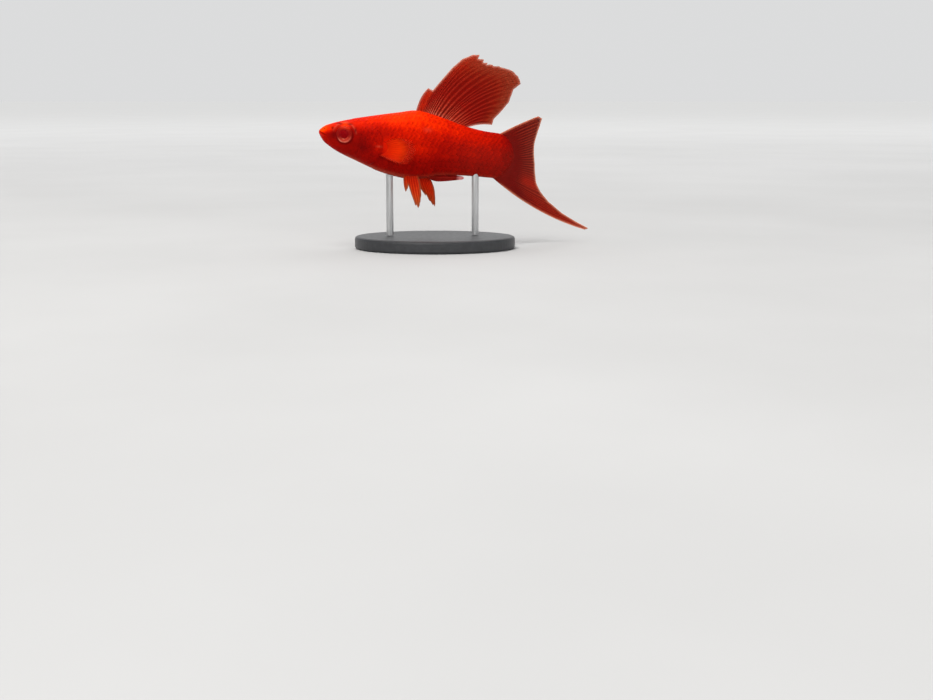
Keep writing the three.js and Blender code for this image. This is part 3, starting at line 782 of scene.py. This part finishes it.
def fork_lines(r, v, forks, width):
    """How much a place is on a ray: r counts the rays and v runs from root to tip."""
    off = (r - np.round(r))[:, None]
    first = 0.25 * smooth(forks[0], forks[0] + 0.35, v)
    second = 0.11 * smooth(forks[1], forks[1] + 0.3, v)
    lines = 0
    for a in (-1, 1):
        for b in (-1, 1):
            lines = np.maximum(lines, hump(off, a * first + b * second, width * (1 - 0.5 * v)))
    return lines


def fin_columns(table, spacing):
    """Places along a fin, counted in rays, closer together where its tips lie far apart."""
    tips = np.hypot(*np.diff(table[:, 4:6], axis=0).T)
    counts = np.clip(np.ceil(tips / spacing), 8, 90).astype(int)
    parts = [i + np.arange(count) / count for i, count in enumerate(counts)]
    return np.append(np.concatenate(parts), len(table) - 1.0)


def fin_reach(u, r, wave, free, rng):
    """How far the skin reaches along each ray: wavy and frayed, with free tips."""
    turns = np.array([0.21, 0.47, 1.1, 2.3, 3.7])  # waves a ray
    sizes = np.array([0.3, 0.26, 0.2, 0.14, 0.1])
    swings = np.sin(2 * math.pi * turns * (r[:, None] + 7 * rng.random(5)))
    loose = sum(amount * hump(u, at, 0.5) for at, amount in free) + 0 * u
    return 1 - wave * (1 + (swings * sizes).sum(1)) / 2 - loose * np.sin(math.pi * r) ** 2


def make_fin(
    name, replaced, rays, lean, material, lines, band=None, free=(), thick=0.05, ridge=0.11,
    forks=(0.3, 0.68), width=0.17, wave=0.014, bare=-0.2, edge=0.38, spacing=0.13, rows=64, seed=1,
):
    """A thin fin: skin stretched over forked rays that stand proud of both faces.

    rays are rows of root, middle and tip as x, z. lines are pairs of a row and the count of fine rays
    up to it; they show from the share bare out. free gives rows round which ray tips stand out of the
    skin, and how far. edge is the width of the margin's own colour. thick and ridge are half the skin's
    thickness and what a ray adds to it. forks are the shares out where rays divide, and width is half a
    ray's, counted in rays. wave is how deep the margin waves. spacing is the width of a mesh column in
    millimetres, and rows their count from root to margin.
    """
    table = np.array(rays, float)
    last = len(rays) - 1
    u = fin_columns(table, spacing)
    i = np.minimum(u.astype(int), last - 1)
    share = (u - i)[:, None]
    ends = table[i] * (1 - share) + table[i + 1] * share
    r = np.interp(u, *zip(*lines))
    reach = fin_reach(u, r, wave, free, np.random.default_rng(seed))
    share_out = np.linspace(0, 1, rows)[None, :]
    v = share_out * reach[:, None]
    weights = ((1 - v) * (1 - 2 * v), 4 * v * (1 - v), v * (2 * v - 1))
    x = sum(ends[:, 2 * k : 2 * k + 1] * w for k, w in enumerate(weights))
    z = sum(ends[:, 2 * k + 1 : 2 * k + 2] * w for k, w in enumerate(weights))
    ray = fork_lines(r, v, forks, width) * smooth(bare - 0.12, bare + 0.18, v)
    ends_of_fin = hump(u, 0, 0.3) + hump(u, last, 0.3)
    half = thick + ridge * ray * (1 - 0.6 * v) + 0.4 * ridge * ends_of_fin[:, None] * (1 - 0.5 * v)
    fleshy_root = 0.25 * np.clip(1 - v * 3.5, 0, 1) ** 2
    half = (half + fleshy_root) * (1 - 0.45 * smooth(0.92, 1.0, share_out))
    y = lean((u / last)[:, None], v) + 0 * x
    rim = np.concatenate(
        [np.stack([x[:, -1], z[:, -1]], 1), np.stack([x[0], z[0]], 1), np.stack([x[-1], z[-1]], 1)]
    )
    away = np.hypot(x[..., None] - rim[:, 0], z[..., None] - rim[:, 1]).min(-1)
    margin = hump(away, 0, edge) * smooth(0.05, 0.2, v)
    points = np.concatenate([np.stack([x, y + s * half, z], -1).reshape(-1, 3) for s in (-1, 1)])
    bands = band((u / last)[:, None], v) if band else 0
    marks = {"ray": ray, "out": v, "margin": margin, "band": bands + 0 * v}
    marks = {key: twice(value) for key, value in marks.items()}
    faces = outward(points, plate_faces(len(u), rows))
    make_piece(name, place(points), [faces], material, replaced, marks)


DORSAL_RAYS = [
    [30, 8, 31.1, 13.6, 33.3, 17.3],
    [31.8, 8, 33.1, 12.6, 34.8, 16.8],
    [32.3, 8, 34.4, 14.5, 37.3, 20.5],
    [32.6, 7.9, 36, 16.6, 40.2, 24.6],
    [33, 7.9, 37.5, 18.6, 43.2, 27.8],
    [33.5, 7.9, 38.8, 20.1, 46.3, 29.4],
    [34, 7.8, 39.9, 20.9, 48.4, 29.7],
    [34.9, 7.6, 41.1, 20.4, 50.8, 27.7],
    [35.7, 7.5, 42.6, 19.8, 52.8, 27.2],
    [37, 7.2, 45.2, 19, 56.2, 26.9],
    [38.4, 6.8, 47.6, 18, 59.9, 26],
    [39.1, 6.7, 48.6, 17.3, 62, 24.6],
    [39.8, 6.5, 49.4, 16.4, 63.2, 22.4],
    [41, 6.2, 50.5, 14.9, 60.8, 20.3],
    [42.2, 6, 50.9, 13, 59.8, 16.1],
    [43.2, 5.7, 50.8, 11.2, 57.4, 12.5],
    [44.2, 5.5, 50.3, 9.4, 55.4, 10.2],
    [45.2, 5.3, 49.9, 7.6, 55, 8.2],
]
# The tail fin's rays and, from the fourteenth, the sword's
CAUDAL_RAYS = [
    [55.7, 4.3, 62.6, 8.8, 69.9, 12.8],
    [57.4, 3.9, 64.3, 8.5, 71.3, 12.2],
    [59, 3.2, 65.3, 6.7, 71, 9.6],
    [60.2, 2.2, 65.7, 4.9, 70.6, 7.3],
    [61.1, 1.3, 66, 3.2, 70.3, 5.2],
    [61.8, 0.3, 66.3, 1.6, 70.2, 3.3],
    [62.2, -0.7, 66.5, 0.1, 70.4, 1.3],
    [62.4, -1.8, 66.8, -1.5, 70.8, -0.8],
    [62.4, -2.8, 67, -3, 71.2, -2.9],
    [62.3, -3.9, 67.2, -4.5, 71.5, -5],
    [62.1, -4.8, 67.3, -6, 71.9, -7.1],
    [61.7, -5.7, 67.4, -7.4, 72.3, -8.9],
    [61.1, -6.3, 67.2, -8.6, 73.2, -10.6],
    [60.5, -6.9, 67.1, -9.6, 74.1, -11.9],
    [60, -7.3, 67.8, -11, 77.2, -14.8],
    [59.7, -7.4, 69.2, -12.4, 82.3, -18.2],
    [59.1, -7.5, 71, -14, 87.5, -20.6],
    [58.3, -7.5, 72.8, -15.5, 91.2, -22],
    [57.2, -7.6, 73.5, -16.8, 92.3, -22.4],
    [56, -7.7, 73.5, -17.7, 91.1, -23],
]
CAUDAL_SHARE = 13 / 19  # of those rays
PELVIC_RAYS = {
    "left": [
        [28.7, -10.2, 28.9, -13.2, 30, -16],
        [29.5, -10.1, 30.1, -12.4, 30.7, -14.2],
        [30.4, -10, 31.5, -14.8, 33.4, -19.8],
        [31.2, -9.9, 32.7, -14.9, 34.6, -20.7],
        [32.1, -9.8, 33.8, -14.8, 34.9, -19.2],
        [32.8, -9.7, 34.2, -13.2, 34.9, -16.4],
    ],
    "right": [
        [32.6, -10.1, 33.5, -12.8, 34.8, -15.3],
        [33.4, -10, 35.1, -13.8, 36.9, -17.6],
        [34.1, -9.9, 36.7, -14.6, 39.3, -19.9],
        [34.9, -9.8, 37.7, -14.9, 40.1, -20.3],
        [35.6, -9.8, 38.3, -14.4, 40, -18.4],
        [36.3, -9.8, 38.2, -12.6, 39.4, -15.4],
    ],
}
PELVIC_SPLAY = 3.4
PECTORAL_RAYS = [
    [19.6, -2.2, 22.6, -0.3, 25.6, 1],
    [19.6, -2.6, 24, -0.3, 28.2, 1.3],
    [19.6, -3, 25, -1, 30.2, 0.7],
    [19.6, -3.3, 25.7, -1.9, 31.5, -0.6],
    [19.6, -3.7, 25.9, -2.9, 32.1, -2.1],
    [19.6, -4.1, 25.7, -4, 31.8, -3.8],
    [19.6, -4.4, 25.3, -5.2, 31.2, -5.8],
    [19.6, -4.8, 24.6, -6, 29.9, -7],
    [19.6, -5.2, 23.4, -6.4, 27.4, -7.5],
]
PECTORAL_SINK = 1.3  # of their roots under the flank
PECTORAL_SPLAY = 3.9


def make_dorsal():
    material = fin_material(
        "dorsal fin",
        film=stops(
            (0, 121, 9, 7), (0.12, 101, 4, 4), (0.5, 99, 5, 5), (0.75, 108, 16, 9), (0.95, 128, 47, 27),
        ),
        # The rays' pale pinkish roots are a painted highlight
        ray=stops(
            (0, 230, 135, 108), (0.12, 196, 68, 47), (0.3, 162, 31, 20),
            (0.55, 153, 29, 18), (0.75, 149, 40, 20), (0.95, 142, 59, 38),
        ),
        edge=screen(200, 130, 110),
        band=screen(185, 36, 13),
        alpha=[(0, 1), (0.85, 1), (1, 0.85)],
        fade=0.25,
        streaky=0.8,
    )
    last = len(DORSAL_RAYS) - 1

    def lean(u, v):
        ripple = 0.14 * v * v * np.sin(9 * u + 5 * v)
        return 1.2 * v * v * np.sin(2.6 * u + 0.5) + ripple

    def band(u, v):
        spines = 0.55 * (1 - smooth(1.0, 1.9, last * u))
        front = 0.3 * hump(last * u, 5.4, 1.5) * smooth(0.3, 0.8, v)
        base = 0.6 * hump(last * u, 15.0, 2.2) * (1 - smooth(0.02, 0.25, v))
        return np.clip(spines + front + base, 0, 1)

    make_fin(
        "dorsal_fin_film", ("dorsal_fin",), DORSAL_RAYS, lean, material,
        lines=((0, 0), (1, 2), (6, 7), (last, 23)), band=band, free=((6.5, 0.05), (7.5, 0.04), (8.6, 0.03)),
        forks=(0.6, 2), width=0.26, seed=3,
    )


def make_tail_fin():
    material = fin_material(
        "tail fin",
        film=stops((0, 124, 17, 14), (0.3, 96, 12, 12), (0.5, 78, 11, 12), (0.9, 94, 29, 22)),
        ray=stops(
            (0, 124, 17, 13), (0.3, 121, 16, 12), (0.5, 158, 42, 25),
            (0.8, 166, 51, 29), (0.97, 144, 76, 56),
        ),
        edge=screen(226, 140, 106),
        band=screen(177, 34, 18),
        alpha=[(0, 1), (0.85, 1), (1, 0.8)],
        fade=0.2,
        streaky=0.8,
    )

    def lean(u, v):
        return 0.9 * v * v * np.sin(math.pi * np.clip(u / CAUDAL_SHARE, 0, 1))

    def band(u, v):
        sword = 0.25 * smooth(0.7, 0.82, u) * smooth(0.3, 0.55, v)
        fan = 0.5 * hump(u, 0.62, 0.08) * smooth(0.35, 0.6, v)
        upper = 0.6 * hump(u, 0, 0.02) * smooth(0.1, 0.3, v)
        return np.clip(sword + fan + upper, 0, 1) * (1 - smooth(0.9, 1, v))

    make_fin(
        "tail_fin_film", ("caudal_fin", "tail_sword"), CAUDAL_RAYS, lean, material,
        lines=((0, 0), (13, 28), (19, 36)), band=band, forks=(2, 2), width=0.25, bare=0.2, rows=80, seed=5,
    )


def make_pectorals():
    material = fin_material(
        "pectoral fin",
        film=stops(
            (0, 182, 10, 3), (0.22, 206, 22, 2), (0.42, 220, 33, 0), (0.68, 214, 37, 1), (0.86, 172, 22, 8),
        ),
        ray=stops(
            (0, 182, 10, 3), (0.22, 208, 24, 2), (0.42, 230, 43, 2),
            (0.68, 230, 52, 8), (0.86, 190, 44, 26),
        ),
        edge=screen(196, 32, 10),
        band=screen(176, 20, 4),
        alpha=[(0, 1), (0.56, 0.94), (0.72, 0.58), (0.85, 0.24), (1, 0.14)],
        fade=0.85,
        streaky=0.0,
    )
    for side, word in SIDES:
        root = side * (half_width(21) - PECTORAL_SINK)

        def lean(u, v):
            cup = 0.7 * np.sin(math.pi * u) * v * v
            return root + side * (PECTORAL_SPLAY * v * (1.3 - 0.3 * v) + cup)

        def band(u, v):
            return 0.6 * smooth(0.5, 0.95, u) + 0 * v

        name = "pectoral_fin_" + word
        make_fin(
            name + "_film", (name,), PECTORAL_RAYS, lean, material, lines=((0, 0), (8, 13)),
            band=band, thick=0.03, ridge=0.045, width=0.2, bare=0.3, edge=0.5, rows=48, seed=11,
        )


def make_pelvics():
    material = fin_material(
        "pelvic fin",
        film=stops(
            (0, 171, 18, 7), (0.3, 180, 20, 6), (0.6, 178, 34, 7), (0.85, 155, 58, 25), (1, 128, 76, 50),
        ),
        ray=stops((0, 193, 25, 9), (0.4, 228, 60, 16), (0.75, 214, 81, 31), (1, 159, 89, 58)),
        edge=screen(146, 78, 48),
        band=screen(150, 76, 40),
        alpha=[(0, 1), (0.8, 1), (1, 0.92)],
        streaky=0.5,
    )
    for side, word in SIDES:

        def lean(u, v):
            return side * (1.4 + PELVIC_SPLAY * v - 0.5 * v * v)

        def band(u, v):
            return 0.7 * smooth(0.75, 1.0, u) * smooth(0.3, 0.6, v)

        name = "pelvic_fin_" + word
        make_fin(
            name + "_film", (name,), PELVIC_RAYS[word], lean, material,
            lines=((0, 0), (5, 7)), band=band, free=((1.2, 0.16), (2.6, 0.05), (4.2, 0.06)),
            forks=(2, 2), width=0.27, rows=48, seed=17,
        )


def make_gonopodium():
    """The male's rod-like anal fin, laid back along the belly."""
    material = fin_material(
        "gonopodium",
        film=stops((0, 126, 10, 10), (0.78, 130, 14, 14), (0.9, 206, 120, 120)),
        ray=stops((0, 136, 16, 12), (0.78, 146, 26, 22), (0.9, 236, 160, 160)),
        edge=screen(200, 120, 110),
        band=screen(200, 120, 110),
        alpha=[(0, 1), (1, 0.97)],
    )
    height = curve([(36.8, -10.4), (39, -10.65), (42, -10.4), (45, -9.95), (47.6, -9.7)])
    half = curve([(36.8, 0.9), (39, 1.1), (42, 1), (45, 0.8), (47.6, 0.5)])
    start, end, around = 36.2, 47.9, 48
    x = np.linspace(start, end, 110)[:, None]
    angle = np.arange(around)[None, :] / around * 2 * math.pi
    ridge = 1 + 0.09 * np.cos(5 * angle) + 0.02 * np.sin(x * 9)
    closing = np.clip((end + 0.1 - x) / 0.7, 0.02, 1) ** 0.5
    tall = half(x) * closing * ridge
    z = height(x) + tall * np.cos(angle)
    none = 0 * x + 0 * angle
    points = np.stack([x + none, 0.6 * tall * np.sin(angle), z], -1)
    marks = {
        "out": (x - start) / (end - start) + none,
        "ray": 0.5 + 0.5 * np.cos(5 * angle) + none,
        "margin": none,
        "band": none,
    }
    points = points.reshape(-1, 3)
    quads = outward(points, grid_faces(len(x), around, closed=True))
    make_piece("gonopodium_rod", place(points), [quads], material, ("gonopodium",), marks)


# Stand, floor, lights and camera


LIGHT_REACH = 1.25  # metres from the middle over which the lights' pool on the floor fades
FAR_GLOW = 0.52  # that makes up for it far out
FLOOR_RADIUS, FLOOR_SIDES = 30.0, 96  # metres, and sides of its rim
SKY_LOW, SKY_HIGH = 0.72, 0.25  # brightness of the studio near the horizon and overhead
MIDDLE = (0.0, 0.0, 0.04)  # of the fish
# Lights: name, place, aim, width and height in metres, watts, colour, spread in degrees
LIGHTS = (
    ("key light", (-0.2, -0.3, 0.8), MIDDLE, (0.45, 0.45), 6.4, (1.0, 0.98, 0.95), 180),
    ("fill light", (0.6, -0.5, 0.3), MIDDLE, (0.6, 0.6), 0.15, (0.95, 0.97, 1.0), 60),
    ("back light", (0.15, 0.5, 0.55), MIDDLE, (0.5, 0.3), 0.9, (1, 1, 1), 180),
    ("low light", (-0.1, -0.75, 0.28), MIDDLE, (0.6, 0.3), 0.2, (1, 1, 1), 60),
    ("top light", (0.0, 0.7, 1.7), (0.0, 1.0, 0.2), (2.4, 1.0), 14.0, (1, 1, 1), 180),
)
CAMERA_PLACE = (0.01026, -0.4205, 0.04796)
CAMERA_DOWN = 11  # degrees that it looks down
LENS, SENSOR = 50, 36  # millimetres


def stand_paint():
    n = Nodes("stand paint")
    grain = n.noise(700, 5)
    colour = n.ramp(grain, [(0.3, screen(34, 35, 38)), (0.7, screen(46, 47, 50))])
    rough = n.math("MULTIPLY_ADD", grain, 0.2, 0.36)
    n.set(Base_Color=colour, Roughness=rough, Coat_Weight=0.15, Coat_Roughness=0.3)
    n.bump(n.noise(5200, 2), 0.25, 0.00004)
    return n.material


def rod_steel():
    n = Nodes("rod steel")
    brushed = n.noise(1600, 3, (1, 1, 0.05))
    colour = n.ramp(brushed, [(0.3, 0.42), (0.7, 0.62)])
    rough = n.math("MULTIPLY_ADD", brushed, 0.2, 0.24)
    n.set(Base_Color=colour, Metallic=1.0, Roughness=rough)
    n.bump(brushed, 0.15, 0.00003)
    return n.material


def dress_stand():
    steel = rod_steel()
    coats = (("stand_base", stand_paint()), ("stand_rod_front", steel), ("stand_rod_rear", steel))
    for node, material in coats:
        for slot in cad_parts[node].material_slots:
            slot.material = material


def make_floor():
    """A pale sheet, lit evenly far out, so that it fades into the background on every side."""
    n = Nodes("floor")
    colour = n.ramp(n.noise(9, 4), [(0.3, 0.455), (0.7, 0.49)])
    coordinates = n.tree.nodes.new("ShaderNodeTexCoord")
    away = n.tree.nodes.new("ShaderNodeVectorMath")
    away.operation = "LENGTH"
    n.link(coordinates.outputs["Object"], away.inputs[0])
    share = n.math("DIVIDE", away.outputs["Value"], LIGHT_REACH)
    lit = n.math("DIVIDE", 1.0, n.math("POWER", n.math("MULTIPLY_ADD", share, share, 1.0), 2.0))
    glow = n.math("MULTIPLY_ADD", lit, -FAR_GLOW, FAR_GLOW)
    n.set(Base_Color=colour, Roughness=0.75, Specular_IOR_Level=0.0)
    n.set(Emission_Color=(1.0, 1.0, 0.99), Emission_Strength=glow)
    turns = np.arange(FLOOR_SIDES) / FLOOR_SIDES * 2 * math.pi
    mesh = bpy.data.meshes.new("floor")
    rim = [(FLOOR_RADIUS * math.cos(turn), FLOOR_RADIUS * math.sin(turn), 0.0) for turn in turns]
    mesh.from_pydata(rim, [], [tuple(range(FLOOR_SIDES))])
    mesh.materials.append(n.material)
    floor = add_object("floor", mesh)


def area_light(name, location, target, size, power, colour, spread):
    data = bpy.data.lights.new(name, "AREA")
    data.shape, data.size, data.size_y = "RECTANGLE", size[0], size[1]
    data.energy, data.color, data.spread = power, colour, math.radians(spread)
    light = add_object(name, data)
    light.location = location
    light.rotation_mode = "QUATERNION"
    light.rotation_quaternion = (Vector(target) - Vector(location)).to_track_quat("-Z", "Y")


def make_studio():
    """Soft light from all round: pale near the horizon and behind the model, dimmer elsewhere."""
    world = bpy.data.worlds.new("studio")
    world.use_nodes = True
    tree = world.node_tree
    link = tree.links.new
    background = tree.nodes["Background"]
    background.inputs["Color"].default_value = (0.99, 0.995, 1.0, 1)
    direction = tree.nodes.new("ShaderNodeTexCoord")
    parts = tree.nodes.new("ShaderNodeSeparateXYZ")
    link(direction.outputs["Generated"], parts.inputs[0])
    shares = []
    for axis, dim_at, pale_at in (("Z", 0.5, 0.27), ("Y", 0.2, 0.5)):
        ramp = tree.nodes.new("ShaderNodeMapRange")
        ramp.interpolation_type = "SMOOTHSTEP"
        ramp.inputs["From Min"].default_value = dim_at
        ramp.inputs["From Max"].default_value = pale_at
        link(parts.outputs[axis], ramp.inputs["Value"])
        shares.append(ramp.outputs["Result"])
    most = tree.nodes.new("ShaderNodeMath")
    most.operation = "MAXIMUM"
    strength = tree.nodes.new("ShaderNodeMath")
    strength.operation = "MULTIPLY_ADD"
    link(shares[0], most.inputs[0])
    link(shares[1], most.inputs[1])
    link(most.outputs[0], strength.inputs[0])
    strength.inputs[1].default_value = SKY_LOW - SKY_HIGH
    strength.inputs[2].default_value = SKY_HIGH
    link(strength.outputs[0], background.inputs["Strength"])
    bpy.context.scene.world = world


def make_lights():
    for row in LIGHTS:
        area_light(*row)
    make_studio()
    bpy.context.scene.view_settings.view_transform = "Standard"


def make_camera():
    data = bpy.data.cameras.new("camera")
    data.sensor_width, data.lens = SENSOR, LENS
    data.clip_start, data.clip_end = 0.01, 20
    camera = add_object("camera", data)
    camera.location = CAMERA_PLACE
    camera.rotation_euler = (math.radians(90 - CAMERA_DOWN), 0, 0)
    bpy.context.scene.camera = camera


make_camera()
make_skin(skin_material("fish skin", False))
make_scales(skin_material("fish scales", True))
shared_eye = eye_material()
for eye_side, eye_word in SIDES:
    make_eye(eye_side, eye_word, shared_eye)
make_dorsal()
make_tail_fin()
make_pectorals()
make_pelvics()
make_gonopodium()
dress_stand()
make_floor()
make_lights()
